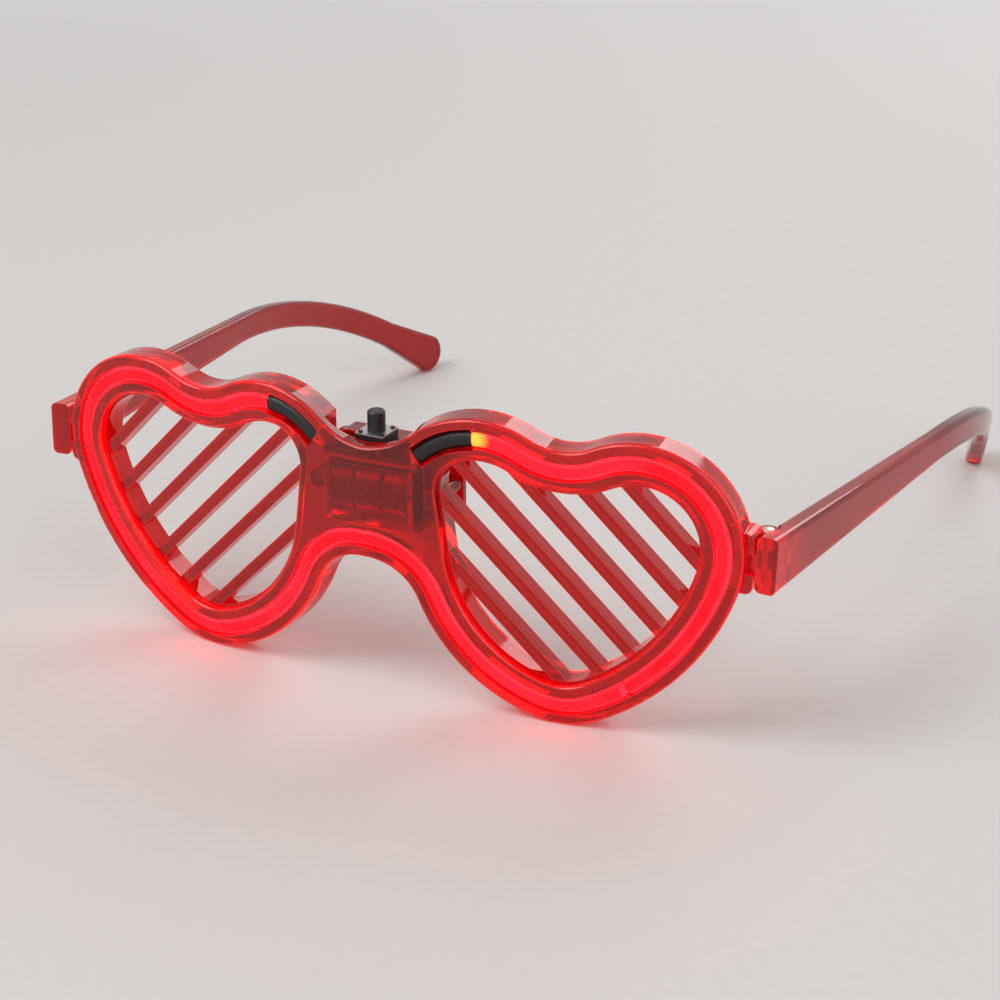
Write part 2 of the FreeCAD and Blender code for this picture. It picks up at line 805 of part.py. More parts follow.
switch_middle = "board_front + board_width / 2"
switch_half = "switch_side / 2"
switch_y = (f"{switch_middle} - {switch_half}", f"{switch_middle} + {switch_half}")
switch_x = (f"-{switch_half}", switch_half)
well_floor = board_high + " + switch_floor"
base_high = board_high + " + switch_base_height"
switch_high = base_high + " + switch_cover_height"
flange_low = well_floor + " + dome_height + press_travel + stem_clearance"
stem_end = switch_high + " + stem_height - stem_chamfer"
corners = [(-1, -1), (1, -1), (-1, 1), (1, 1)]


def at_pegs(name, radius, low, height):
    """A rod at each corner of the switch."""
    rods = []
    for number, (across, way) in enumerate(corners, 1):
        depth = f"{switch_middle} + {way} * peg_offset"
        rods.append(rod(f"{name}_{number}", radius, f"{across} * peg_offset", depth, low, height))
    return rods


circuit_board = box(
    "circuit_board", (f"-({board_half})", board_half), ("board_front", board_rear), (board_low, board_high))
driver_chip = dome("driver_chip", "chip_radius", "-chip_across", switch_middle, board_high, "chip_height")
switch_base = carve(
    "switch_base", join(
        "switch_blank", box("switch_block", switch_x, switch_y, (board_high, base_high)),
        *at_pegs("peg", "peg_radius", base_high, "switch_cover_height + peg_height")),
    rod("switch_well", "switch_well_radius", "0", switch_middle, well_floor, "switch_base_height"))
switch_cover = carve(
    "switch_cover", box("switch_plate", switch_x, switch_y, (base_high, switch_high)),
    rod("stem_hole", "stem_radius + stem_clearance", "0", switch_middle, base_high, "switch_cover_height"),
    *at_pegs("peg_hole", "peg_radius + stem_clearance", base_high, "switch_cover_height"))
switch_plunger = join(
    "switch_plunger",
    rod("flange", "flange_radius", "0", switch_middle, flange_low,
        f"{base_high} - stem_clearance - ({flange_low})"),
    rod("stem", "stem_radius", "0", switch_middle, flange_low, f"{stem_end} - ({flange_low})"),
    cone("stem_tip", "stem_radius", "stem_radius - stem_chamfer", "0", switch_middle, stem_end,
         "stem_chamfer"))


def snap_cone(name, drop):
    low = f"{well_floor} - {drop}"
    return cone(name, "dome_radius", "dome_top_radius", "0", switch_middle, low, "dome_height")


switch_dome = carve("switch_dome", snap_cone("dome_skin", "0"), snap_cone("dome_hollow", "dome_thickness"))
terminals = []
for number, (across, way) in enumerate(corners, 1):
    middle = f"{across} * pin_spacing / 2"
    width = (f"{middle} - pin_width / 2", f"{middle} + pin_width / 2")
    face = f"{switch_middle} + {way} * {switch_half}"
    depth = (f"{face} - pin_thickness", face) if way < 0 else (face, f"{face} + pin_thickness")
    terminals.append(box(f"terminal_{number}", width, depth, (board_high, f"{board_high} + pin_height")))
switch_terminals = join("switch_terminals", *terminals)


# Light strips, lamps, sleeves and leads

def strip(name, arcs):
    body = half_body(name)
    outline = band(arcs, size("strip_width") / 2)
    pad = extrude(body, name + "_pad", sketch_on(
        body, name + "_outline", "XZ_Plane", outline, behind(size("strip_recess"))), "strip_depth")
    soften(body, name + "_round", pad, "strip_edge_round", curved_edge_at(size("strip_recess")))
    return body


joint_angle = flank_arc.end + size("strip_joint_before_tip") / size("flank_radius")
joint_half_angle = size("strip_joint_gap") / size("flank_radius") / 2
short_strip = strip(
    "short_strip", [lit_lobe, cleft_arc, outer_arc, flank_arc._replace(end=joint_angle + joint_half_angle)])
arch_strip = strip(
    "arch_strip", [flank_arc._replace(start=joint_angle - joint_half_angle), tip_arc, inner_arc, arch_arc])
far_strip = mirror("far_strip", to_middle("far_part", strip("whole_strip", lit_arcs)))
long_strip = join("long_strip", to_middle("arch_part", arch_strip), far_strip)

sleeve_depth = size("sleeve_recess") + size("sleeve_radius")


def behind_front(point, depth):
    return Vector(point.x, depth, point.y)


def arc_edge(arc, depth):
    angles = (arc.start, (arc.start + arc.end) / 2, arc.end)
    return Part.Arc(*[behind_front(point_on(arc, angle), depth) for angle in angles]).toShape()


sleeve_path = Part.Wire([arc_edge(arc, sleeve_depth) for arc in sleeve_arcs])
sleeve_bore = size("sleeve_radius") - size("sleeve_wall")
sleeve_shape = tube(sleeve_path, size("sleeve_radius")).cut(tube(sleeve_path, sleeve_bore))
right_sleeve = shaped("right_sleeve", sleeve_shape, half_plane)
left_sleeve = mirror("left_sleeve", right_sleeve)

lamp_middle_angle = lamp_angle + size("lamp_length") / 2 / size("inner_lobe_radius")
lamp_way = Vector(math.sin(lamp_middle_angle), 0, -math.cos(lamp_middle_angle))
lamp_middle = behind_front(point_on(lobe_arc, lamp_middle_angle), sleeve_depth)
lamp_base = lamp_middle - lamp_way * (size("lamp_length") / 2)
lamp_round = size("lamp_radius")
lamp_body = Part.makeCylinder(lamp_round, size("lamp_length") - lamp_round, lamp_base, lamp_way)
lamp_dome = Part.makeSphere(lamp_round, lamp_base + lamp_way * (size("lamp_length") - lamp_round))
right_lamp = shaped("right_lamp", lamp_body.fuse(lamp_dome).removeSplitter(), half_plane)
left_lamp = mirror("left_lamp", right_lamp)

# The leads leave the sleeve's end and land on the board
board_end = measured(board_half)
lead_top = measured(board_high + " + lead_radius")
landing_depth = measured("board_front + lead_spacing")
lead_route = [
    lamp_base,
    behind_front(point_on(sleeved_dip, sleeved_dip.start), sleeve_depth),
    Vector(board_end + measured("lead_bend_radius + lead_radius"), landing_depth, lead_top),
    Vector(board_end - size("lead_on_board"), landing_depth, lead_top)]


def along_leads(radius, aside):
    """A round run on the leads' route, moved back by a distance."""
    points = [point + Vector(0, aside, 0) for point in lead_route]
    return tube(bent_path(points, size("lead_bend_radius")), radius)


half_spacing = size("lead_spacing") / 2
leads = [along_leads(size("lead_radius"), aside) for aside in (-half_spacing, half_spacing)]
right_lamp_leads = shaped("right_lamp_leads", Part.makeCompound(leads), half_plane)
left_lamp_leads = mirror("left_lamp_leads", right_lamp_leads)
right_passage = shaped("right_passage", along_leads(size("lead_window") / 2, 0), half_plane)


# The front moulding, cut for what it holds

front_frame = carve(
    "front_frame",
    join("frame_blank", right_side, left_side, housing, *both_sides("boss", boss)),
    right_grooves, left_grooves, right_passage, mirror("left_passage", right_passage),
    box("battery_room", (f"-({room_half})", room_half), (room_front, cover_rear), (room_low, room_high)),
    box("board_slot", (f"-({board_half}) - board_clearance", board_half + " + board_clearance"),
        ("board_front - board_clearance", board_rear + " + board_clearance"), (board_low, above_all)),
    *both_sides("pilot_hole", pilot_hole),
    *both_sides("tab_slot", tab_slot))


# Slats

slat_prism = half_body("slat_prism")
extrude(slat_prism, "slat_prism_pad", sketch_on(
    slat_prism, "slat_prism_outline", "XZ_Plane", closed(ledge), behind(size("slat_setback"))), "slat_depth")
slat_reach = size("outer_lobe_across") + size("outer_lobe_radius")
lean = Placement(Vector(), Rotation(Vector(0, 1, 0), size("slat_angle")))
bars = []
for number in range(int(size("slat_count"))):
    bar = doc.addObject("Part::Box", f"slat_bar_{number + 1}")
    bar.Length = 2 * slat_reach
    bind(bar, "Width", "2 * slat_depth + slat_setback")
    bind(bar, "Height", "slat_width")
    across = size("slat_first") + number * size("slat_pitch") - size("slat_width") / 2
    bar.Placement = half_plane * lean * Placement(Vector(-slat_reach, 0, across), Rotation())
    bars.append(bar)
right_slats = overlap("right_slats", slat_prism, join("slat_bars", *bars))
left_slats = mirror("left_slats", right_slats)


# Sub-parts, each written to its own file

nodes = [
    front_frame, left_slats, right_slats, long_strip, short_strip,
    left_lamp, right_lamp, left_lamp_leads, right_lamp_leads, left_sleeve, right_sleeve,
    battery_cover, cover_screws, *cells, positive_contact, negative_contact,
    circuit_board, driver_chip, switch_base, switch_cover, switch_dome, switch_terminals, switch_plunger,
    left_hinge_pin, right_hinge_pin, left_temple, right_temple,
]
doc.recompute()

# The front of the bridge is drawn at zero, and each sub-part moves forward by half the depth of the whole
dims.set("front_y", str(-right_temple.Shape.optimalBoundingBox().YMax / 2))
for node in nodes:
    if node.TypeId != "Part::Mirroring":
        placed = [text for path, text in node.ExpressionEngine if path.endswith("Placement.Base.y")]
        node.setExpression("Placement.Base.y", " + ".join(placed + ["dims.front_y"]))
doc.recompute()
for item in doc.Objects:
    if "Invalid" in item.State or "Error" in item.State:
        raise RuntimeError(f"{item.Label} failed to build")
os.makedirs("parts", exist_ok=True)
for node in nodes:
    if node.Shape.isNull() or not node.Shape.isValid():
        raise RuntimeError(f"{node.Label} has no valid shape")
    node.Shape.exportStep(f"parts/{node.Label}.step")
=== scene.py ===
import math

import bmesh
import bpy
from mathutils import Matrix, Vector


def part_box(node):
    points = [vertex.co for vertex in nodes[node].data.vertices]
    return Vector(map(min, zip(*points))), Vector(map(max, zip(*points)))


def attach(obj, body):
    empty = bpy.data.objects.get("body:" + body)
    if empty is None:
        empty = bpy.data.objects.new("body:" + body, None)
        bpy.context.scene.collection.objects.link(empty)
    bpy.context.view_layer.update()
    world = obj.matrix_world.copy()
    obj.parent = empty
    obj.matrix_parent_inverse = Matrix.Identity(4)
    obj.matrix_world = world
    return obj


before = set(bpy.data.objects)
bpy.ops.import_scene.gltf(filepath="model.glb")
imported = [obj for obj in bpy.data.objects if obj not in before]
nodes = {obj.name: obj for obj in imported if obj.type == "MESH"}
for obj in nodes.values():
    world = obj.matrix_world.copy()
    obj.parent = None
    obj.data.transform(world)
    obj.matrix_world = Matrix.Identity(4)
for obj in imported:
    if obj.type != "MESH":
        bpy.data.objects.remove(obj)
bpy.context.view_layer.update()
scene = bpy.context.scene

MM = 0.001
front_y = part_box("front_frame")[0].y

# The strips' light in the clear plastic, painted as a glow of the plastic: the width of a lit edge,
# and how far behind the front it begins to fade and ends
EDGE_WIDTH = 0.7 * MM
FADE_START = 8 * MM
FADE_END = 28 * MM
# The share of that painted glow that shows on the faces of the front and the temples
FRONT_PAINTED_GLOW = 0.08
TEMPLE_PAINTED_GLOW = 0.5

# The strip's end at the lamp that shows: how far it lies from the corner of the lamp's box,
# how far from there the strip is hot all through, and where the heat ends
HOT_OFFSET = 1.0 * MM
HOT_CORE = 1.0 * MM
HOT_REACH = 3.4 * MM

# A wave texture of scale 1 repeats after this distance
WAVE_PERIOD = math.pi / 10

# Radius and height in millimetres along the side of a drop of solder, from the middle of its foot to its top
SOLDER_PROFILE = ((0, 0), (0.48, 0), (0.43, 0.1), (0.37, 0.26), (0.31, 0.42), (0.18, 0.56), (0, 0.6))
SOLDER_SIDES = 24
# A drop is this many times as long as it is wide, and its middle lies this far from the lead's end
SOLDER_STRETCH = 1.7
SOLDER_SETBACK = 0.7 * MM
# Points of a lead this near to its inner end belong to that end
LEAD_TIP = 0.2 * MM
SAME_POINT = 0.001 * MM

# Camera, from the mirror symmetry of the two hearts; its distance is in millimetres
CAMERA_AZIMUTH = math.radians(25.993)
CAMERA_ELEVATION = math.radians(23.296)
CAMERA_TARGET = Vector((29.213 * MM, front_y, 46.74 * MM))
CAMERA_DISTANCE = 402.145
FOCAL_LENGTH = 79.2
SENSOR_WIDTH = 36
NEAREST_SEEN = 0.01

# Studio: the point that the lamps face, the backdrop's strength as a light and where it is seen,
# half the floor's side, and the distances between which the floor turns into the backdrop
LIT_POINT = Vector((0, 0, 0.03))
BACKDROP_LIGHT = 0.45
BACKDROP_SEEN = 0.9
FLOOR_HALF = 4
PAPER_END = 0.3
BACKDROP_START = 1.1
# Light crosses many walls of clear plastic before it comes out
BOUNCES = 40


def linear(hex_colour):
    """An sRGB hex colour as the linear values that a shader takes."""
    channels = [int(hex_colour[i:i + 2], 16) / 255 for i in (0, 2, 4)]
    return (*[c / 12.92 if c <= 0.04045 else ((c + 0.055) / 1.055) ** 2.4 for c in channels], 1.0)


def every(size):
    """The scale of a pattern whose features are a size in millimetres apart."""
    return 1 / (size * MM)


def add(tree, kind, sockets=None, **properties):
    """Adds a shader node with its properties, and gives its sockets constants or links from other nodes."""
    node = tree.nodes.new("ShaderNode" + kind)
    for name, value in properties.items():
        setattr(node, name, value)
    for name, value in (sockets or {}).items():
        if isinstance(value, bpy.types.NodeSocket):
            tree.links.new(value, node.inputs[name])
        else:
            node.inputs[name].default_value = value
    return node


def start_material(name):
    """A material with an empty tree, and the Object coordinates that its patterns read."""
    material = bpy.data.materials.new(name)
    material.use_nodes = True
    tree = material.node_tree
    tree.nodes.clear()
    place = add(tree, "TexCoord").outputs["Object"]
    return material, tree, place


def dress(material, *names):
    """Puts a material on every slot of the CAD nodes named."""
    for name in names:
        for slot in nodes[name].material_slots:
            slot.material = material


def link_mesh(name, shape, material):
    """Turns a finished bmesh into an object of the scene."""
    mesh = bpy.data.meshes.new(name)
    shape.to_mesh(mesh)
    shape.free()
    mesh.materials.append(material)
    piece = bpy.data.objects.new(name, mesh)
    scene.collection.objects.link(piece)
    return piece


def clear_red_acrylic(name, face_painted_glow):
    """Acrylic dyed red and injection moulded: clear, deeper where it is thick, with a hard gloss.
    Slow flow waves bend what shows through it, and handling leaves smears and hairlines.
    It has a painted glow in place of the strips' light carried inside it; the face share is how much of that
    painted glow shows on its faces."""
    material, tree, place = start_material(name)
    flow = add(tree, "TexNoise", {"Vector": place, "Scale": every(12), "Detail": 2.0})
    dye = add(tree, "Mix", {
        "Factor": flow.outputs["Fac"], "A": linear("C01018"), "B": linear("AC0A12")}, data_type="RGBA")
    smear = add(tree, "TexNoise", {"Vector": place, "Scale": every(6), "Detail": 6.0})
    gloss = add(tree, "MapRange", {
        "Value": smear.outputs["Fac"], "From Min": 0.35, "From Max": 0.75, "To Min": 0.02, "To Max": 0.12})
    along = add(tree, "Mapping", {
        "Vector": place, "Rotation": (0.3, 0.5, 0.7), "Scale": (every(0.3), every(11), every(11))})
    hairline = add(tree, "TexNoise", {"Vector": along.outputs["Vector"], "Scale": 1.0, "Detail": 1.0})
    scratch = add(tree, "MapRange", {
        "Value": hairline.outputs["Fac"], "From Min": 0.68, "From Max": 0.76, "To Min": 0.0, "To Max": 0.14})
    roughness = add(tree, "Math", {0: gloss.outputs["Result"], 1: scratch.outputs["Result"]}, operation="ADD")
    wave = add(tree, "TexNoise", {"Vector": place, "Scale": every(5), "Detail": 1.0})
    bump = add(tree, "Bump", {"Height": wave.outputs["Fac"], "Strength": 0.05, "Distance": 0.3 * MM})
    # Painted glow: an emission stands in for the strips' light that runs inside the plastic, shows brightest
    # at the edges and fades along the temples
    softened = add(tree, "Bevel", {"Radius": EDGE_WIDTH}, samples=6)
    turned = add(tree, "VectorMath", {
        0: softened.outputs["Normal"], 1: (0.0, 1.0, 0.0)}, operation="DOT_PRODUCT")
    tilt = add(tree, "Math", {0: turned.outputs["Value"]}, operation="ABSOLUTE")
    off_side = add(tree, "MapRange", {
        "Value": tilt.outputs["Value"], "From Min": 0.2, "From Max": 0.5}, interpolation_type="SMOOTHSTEP")
    off_face = add(tree, "MapRange", {
        "Value": tilt.outputs["Value"], "From Min": 0.95, "From Max": 0.75}, interpolation_type="SMOOTHSTEP")
    edge = add(tree, "Math", {
        0: off_side.outputs["Result"], 1: off_face.outputs["Result"]}, operation="MULTIPLY")
    painted_glow = add(tree, "MapRange", {"Value": edge.outputs["Value"], "To Min": face_painted_glow, "To Max": 1.0})
    behind = add(tree, "SeparateXYZ", {"Vector": place})
    fade = add(tree, "MapRange", {
        "Value": behind.outputs["Y"], "From Min": front_y + FADE_END, "From Max": front_y + FADE_START},
        interpolation_type="SMOOTHSTEP")
    painted_glow_amount = add(tree, "Math", {0: painted_glow.outputs["Result"], 1: fade.outputs["Result"]}, operation="MULTIPLY")
    lit = add(tree, "Mix", {
        "Factor": painted_glow_amount.outputs["Value"], "A": linear("000000"), "B": linear("FF0A12")}, data_type="RGBA")
    plastic = add(tree, "BsdfPrincipled", {
        "Base Color": dye.outputs["Result"], "Roughness": roughness.outputs["Value"],
        "Normal": bump.outputs["Normal"], "IOR": 1.49, "Specular IOR Level": 0.35,
        "Transmission Weight": 0.92, "Emission Color": lit.outputs["Result"], "Emission Strength": 0.4})
    depth = add(tree, "VolumeAbsorption", {"Color": linear("FD1418"), "Density": 300.0})
    add(tree, "OutputMaterial", {"Surface": plastic.outputs["BSDF"], "Volume": depth.outputs["Volume"]})
    return material


def red_vinyl_light_guide(hot_end):
    """Soft vinyl extruded as a rod that carries a lamp's light along it: a deep red glow, with a painted
    highlight that makes it paler at its round edges. The glow is yellow hot next to the lamp whose end shows."""
    material, tree, place = start_material("red_vinyl_light_guide")
    # The paler, pinker glow away from the front-facing crest is a painted highlight along the strip's round
    # edges
    normal = add(tree, "NewGeometry").outputs["Normal"]
    facing = add(tree, "VectorMath", {0: normal, 1: (0.0, -1.0, 0.0)}, operation="DOT_PRODUCT")
    crest = add(tree, "MapRange", {
        "Value": facing.outputs["Value"], "From Min": 0.7, "From Max": 0.95}, interpolation_type="SMOOTHSTEP")
    drift = add(tree, "TexNoise", {"Vector": place, "Scale": every(16), "Detail": 1.0})
    core = add(tree, "MapRange", {
        "Value": drift.outputs["Fac"], "From Min": 0.4, "From Max": 0.65, "To Min": 1.0, "To Max": 0.7})
    deep = add(tree, "Math", {0: crest.outputs["Result"], 1: core.outputs["Result"]}, operation="MULTIPLY")
    glow = add(tree, "Mix", {
        "Factor": deep.outputs["Value"], "A": linear("FF161F"), "B": linear("F40206")}, data_type="RGBA")
    cloud = add(tree, "TexNoise", {"Vector": place, "Scale": every(7), "Detail": 3.0})
    uneven = add(tree, "MapRange", {
        "Value": cloud.outputs["Fac"], "From Min": 0.3, "From Max": 0.7, "To Min": 0.75, "To Max": 1.1})
    patchy = add(tree, "VectorMath", {
        0: glow.outputs["Result"], 3: uneven.outputs["Result"]}, operation="SCALE")
    away = add(tree, "VectorMath", {0: place, 1: hot_end}, operation="DISTANCE")
    heat = add(tree, "MapRange", {
        "Value": away.outputs["Value"], "From Min": HOT_CORE, "From Max": HOT_REACH,
        "To Min": 1.0, "To Max": 0.0},
        interpolation_type="SMOOTHSTEP")
    lit = add(tree, "Mix", {
        "Factor": heat.outputs["Result"], "A": patchy.outputs["Vector"], "B": linear("FF6420")},
        data_type="RGBA")
    grain = add(tree, "TexNoise", {"Vector": place, "Scale": every(0.8), "Detail": 3.0})
    gloss = add(tree, "MapRange", {
        "Value": grain.outputs["Fac"], "From Min": 0.3, "From Max": 0.7, "To Min": 0.22, "To Max": 0.4})
    bump = add(tree, "Bump", {"Height": cloud.outputs["Fac"], "Strength": 0.1, "Distance": 0.2 * MM})
    vinyl = add(tree, "BsdfPrincipled", {
        "Base Color": linear("B00C18"), "Roughness": gloss.outputs["Result"],
        "Normal": bump.outputs["Normal"], "IOR": 1.52, "Specular IOR Level": 0.15,
        "Emission Color": lit.outputs["Result"], "Emission Strength": 6.0})
    add(tree, "OutputMaterial", {"Surface": vinyl.outputs["BSDF"]})
    return material


def lamp_epoxy():
    """Clear epoxy cast round a lamp's chip: glossy, with a hot glow that swirls a little in the casting."""
    material, tree, place = start_material("cast_lamp_epoxy")
    swirl = add(tree, "TexNoise", {"Vector": place, "Scale": every(1.5), "Detail": 2.0})
    glow = add(tree, "Mix", {
        "Factor": swirl.outputs["Fac"], "A": linear("FF5A20"), "B": linear("FFB060")}, data_type="RGBA")
    gloss = add(tree, "MapRange", {"Value": swirl.outputs["Fac"], "To Min": 0.05, "To Max": 0.2})
    epoxy = add(tree, "BsdfPrincipled", {
        "Base Color": linear("C02018"), "Roughness": gloss.outputs["Result"], "IOR": 1.53,
        "Emission Color": glow.outputs["Result"], "Emission Strength": 4.0})
    add(tree, "OutputMaterial", {"Surface": epoxy.outputs["BSDF"]})
    return material


def black_shrink_tube():
    """Black polyolefin tube, shrunk on with heat: satin, with fine creases and slow dents."""
    material, tree, place = start_material("black_shrink_tube")
    dent = add(tree, "TexNoise", {"Vector": place, "Scale": every(2.5), "Detail": 1.0})
    crease = add(tree, "TexNoise", {"Vector": place, "Scale": every(0.5), "Detail": 4.0})
    colour = add(tree, "Mix", {
        "Factor": crease.outputs["Fac"], "A": linear("09090A"), "B": linear("161617")}, data_type="RGBA")
    gloss = add(tree, "MapRange", {
        "Value": crease.outputs["Fac"], "From Min": 0.3, "From Max": 0.7, "To Min": 0.3, "To Max": 0.52})
    dents = add(tree, "Bump", {"Height": dent.outputs["Fac"], "Strength": 0.35, "Distance": 0.5 * MM})
    creases = add(tree, "Bump", {
        "Height": crease.outputs["Fac"], "Normal": dents.outputs["Normal"],
        "Strength": 0.25, "Distance": 0.1 * MM})
    tube = add(tree, "BsdfPrincipled", {
        "Base Color": colour.outputs["Result"], "Roughness": gloss.outputs["Result"],
        "Normal": creases.outputs["Normal"], "IOR": 1.5})
    add(tree, "OutputMaterial", {"Surface": tube.outputs["BSDF"]})
    return material


def black_nylon():
    """Glass filled black nylon, injection moulded in an eroded die: matt, with a fine pebble grain."""
    material, tree, place = start_material("black_moulded_nylon")
    # The real grain is about 0.05 mm; it is drawn at 0.2 mm so that it shows
    pebble = add(tree, "TexVoronoi", {"Vector": place, "Scale": every(0.2)}, feature="SMOOTH_F1")
    rub = add(tree, "TexNoise", {"Vector": place, "Scale": every(1.8), "Detail": 4.0})
    colour = add(tree, "Mix", {
        "Factor": rub.outputs["Fac"], "A": linear("0B0B0C"), "B": linear("1B1B1D")}, data_type="RGBA")
    gloss = add(tree, "MapRange", {
        "Value": rub.outputs["Fac"], "From Min": 0.3, "From Max": 0.7, "To Min": 0.55, "To Max": 0.36})
    bump = add(tree, "Bump", {"Height": pebble.outputs["Distance"], "Strength": 0.2, "Distance": 0.05 * MM})
    nylon = add(tree, "BsdfPrincipled", {
        "Base Color": colour.outputs["Result"], "Roughness": gloss.outputs["Result"],
        "Normal": bump.outputs["Normal"], "IOR": 1.53})
    add(tree, "OutputMaterial", {"Surface": nylon.outputs["BSDF"]})
    return material


def turned_nickel(name, axis, centre):
    """Nickel plate on steel that was turned or spun round an axis: bright, with fine rings and dull spots.
    The coordinates are taken without their sign, so that both pieces of a mirrored pair get the rings."""
    material, tree, place = start_material(name)
    size = add(tree, "VectorMath", {0: place}, operation="ABSOLUTE")
    about = add(tree, "VectorMath", {0: size.outputs["Vector"], 1: centre}, operation="SUBTRACT")
    # The real rings are about 0.05 mm apart; they are drawn 0.25 mm apart so that they show
    rings = add(tree, "TexWave", {
        "Vector": about.outputs["Vector"], "Scale": WAVE_PERIOD / (0.25 * MM),
        "Distortion": 0.6, "Detail": 2.0},
        wave_type="RINGS", rings_direction=axis)
    spot = add(tree, "TexNoise", {"Vector": place, "Scale": every(1.2), "Detail": 5.0})
    colour = add(tree, "Mix", {
        "Factor": spot.outputs["Fac"], "A": linear("B9B2A6"), "B": linear("D6D1C8")}, data_type="RGBA")
    gloss = add(tree, "MapRange", {
        "Value": spot.outputs["Fac"], "From Min": 0.3, "From Max": 0.7, "To Min": 0.4, "To Max": 0.2})
    bump = add(tree, "Bump", {"Height": rings.outputs["Fac"], "Strength": 0.12, "Distance": 0.03 * MM})
    metal = add(tree, "BsdfPrincipled", {
        "Base Color": colour.outputs["Result"], "Metallic": 1.0, "Roughness": gloss.outputs["Result"],
        "Normal": bump.outputs["Normal"]})
    add(tree, "OutputMaterial", {"Surface": metal.outputs["BSDF"]})
    return material


def rolled_metal(name, dark, bright, grain):
    """Thin metal rolled or drawn, then plated: satin, with streaks along the way it was rolled.
    The grain is the streaks' size in millimetres along X, Y and Z."""
    material, tree, place = start_material(name)
    rolled = add(tree, "Mapping", {"Vector": place, "Scale": tuple(every(size) for size in grain)})
    streak = add(tree, "TexNoise", {"Vector": rolled.outputs["Vector"], "Scale": 1.0, "Detail": 4.0})
    colour = add(tree, "Mix", {
        "Factor": streak.outputs["Fac"], "A": linear(dark), "B": linear(bright)}, data_type="RGBA")
    gloss = add(tree, "MapRange", {
        "Value": streak.outputs["Fac"], "From Min": 0.3, "From Max": 0.7, "To Min": 0.42, "To Max": 0.24})
    bump = add(tree, "Bump", {"Height": streak.outputs["Fac"], "Strength": 0.12, "Distance": 0.03 * MM})
    metal = add(tree, "BsdfPrincipled", {
        "Base Color": colour.outputs["Result"], "Metallic": 1.0, "Roughness": gloss.outputs["Result"],
        "Normal": bump.outputs["Normal"]})
    add(tree, "OutputMaterial", {"Surface": metal.outputs["BSDF"]})
    return material


def green_board():
    """Woven glass laminate with etched copper tracks under green lacquer: glossy faces, raw sawn edges."""
    material, tree, place = start_material("lacquered_glass_laminate")
    # Copper tracks run across the board in rows 1.1 mm apart, and each row has its own gaps
    point = add(tree, "SeparateXYZ", {"Vector": place})
    rows = add(tree, "Math", {0: point.outputs["Y"], 1: every(1.1)}, operation="MULTIPLY")
    share = add(tree, "Math", {0: rows.outputs["Value"]}, operation="FRACT")
    offset = add(tree, "Math", {0: share.outputs["Value"], 1: 0.5}, operation="SUBTRACT")
    away = add(tree, "Math", {0: offset.outputs["Value"]}, operation="ABSOLUTE")
    on_row = add(tree, "MapRange", {"Value": away.outputs["Value"], "From Min": 0.22, "From Max": 0.16})
    number = add(tree, "Math", {0: rows.outputs["Value"]}, operation="FLOOR")
    apart = add(tree, "Math", {0: number.outputs["Value"], 1: 2.37}, operation="MULTIPLY")
    run = add(tree, "Math", {0: point.outputs["X"], 1: every(3)}, operation="MULTIPLY")
    place_in_row = add(tree, "CombineXYZ", {"X": run.outputs["Value"], "Y": apart.outputs["Value"]})
    gaps = add(tree, "TexNoise", {"Vector": place_in_row.outputs["Vector"], "Scale": 1.0, "Detail": 0.0})
    present = add(tree, "MapRange", {"Value": gaps.outputs["Fac"], "From Min": 0.42, "From Max": 0.45})
    track = add(tree, "Math", {
        0: on_row.outputs["Result"], 1: present.outputs["Result"]}, operation="MULTIPLY")
    lacquer = add(tree, "Mix", {
        "Factor": track.outputs["Value"], "A": linear("0C4523"), "B": linear("227544")}, data_type="RGBA")
    # The sawn edges show the bundles of glass fibre
    weave = add(tree, "TexChecker", {"Vector": place, "Scale": every(0.4)})
    normal = add(tree, "NewGeometry").outputs["Normal"]
    upward = add(tree, "VectorMath", {0: normal, 1: (0.0, 0.0, 1.0)}, operation="DOT_PRODUCT")
    flat = add(tree, "Math", {0: upward.outputs["Value"]}, operation="ABSOLUTE")
    fibre = add(tree, "Mix", {
        "Factor": weave.outputs["Fac"], "A": linear("B79A5A"), "B": linear("9C8048")}, data_type="RGBA")
    colour = add(tree, "Mix", {
        "Factor": flat.outputs["Value"], "A": fibre.outputs["Result"], "B": lacquer.outputs["Result"]},
        data_type="RGBA")
    gloss = add(tree, "MapRange", {"Value": flat.outputs["Value"], "To Min": 0.8, "To Max": 0.3})
    bump = add(tree, "Bump", {"Height": track.outputs["Value"], "Strength": 0.4, "Distance": 0.05 * MM})
    board = add(tree, "BsdfPrincipled", {
        "Base Color": colour.outputs["Result"], "Roughness": gloss.outputs["Result"],
        "Normal": bump.outputs["Normal"], "IOR": 1.55})
    add(tree, "OutputMaterial", {"Surface": board.outputs["BSDF"]})
    return material


def black_epoxy():
    """Black epoxy dropped on and cured: glossy, with the slow ripples of a liquid that set."""
    material, tree, place = start_material("cured_black_epoxy")
    ripple = add(tree, "TexNoise", {"Vector": place, "Scale": every(0.6), "Detail": 2.0})
    colour = add(tree, "Mix", {
        "Factor": ripple.outputs["Fac"], "A": linear("080808"), "B": linear("151413")}, data_type="RGBA")
    gloss = add(tree, "MapRange", {"Value": ripple.outputs["Fac"], "To Min": 0.1, "To Max": 0.35})
    bump = add(tree, "Bump", {"Height": ripple.outputs["Fac"], "Strength": 0.2, "Distance": 0.1 * MM})
    epoxy = add(tree, "BsdfPrincipled", {
        "Base Color": colour.outputs["Result"], "Roughness": gloss.outputs["Result"],
        "Normal": bump.outputs["Normal"], "IOR": 1.54})
    add(tree, "OutputMaterial", {"Surface": epoxy.outputs["BSDF"]})
    return material


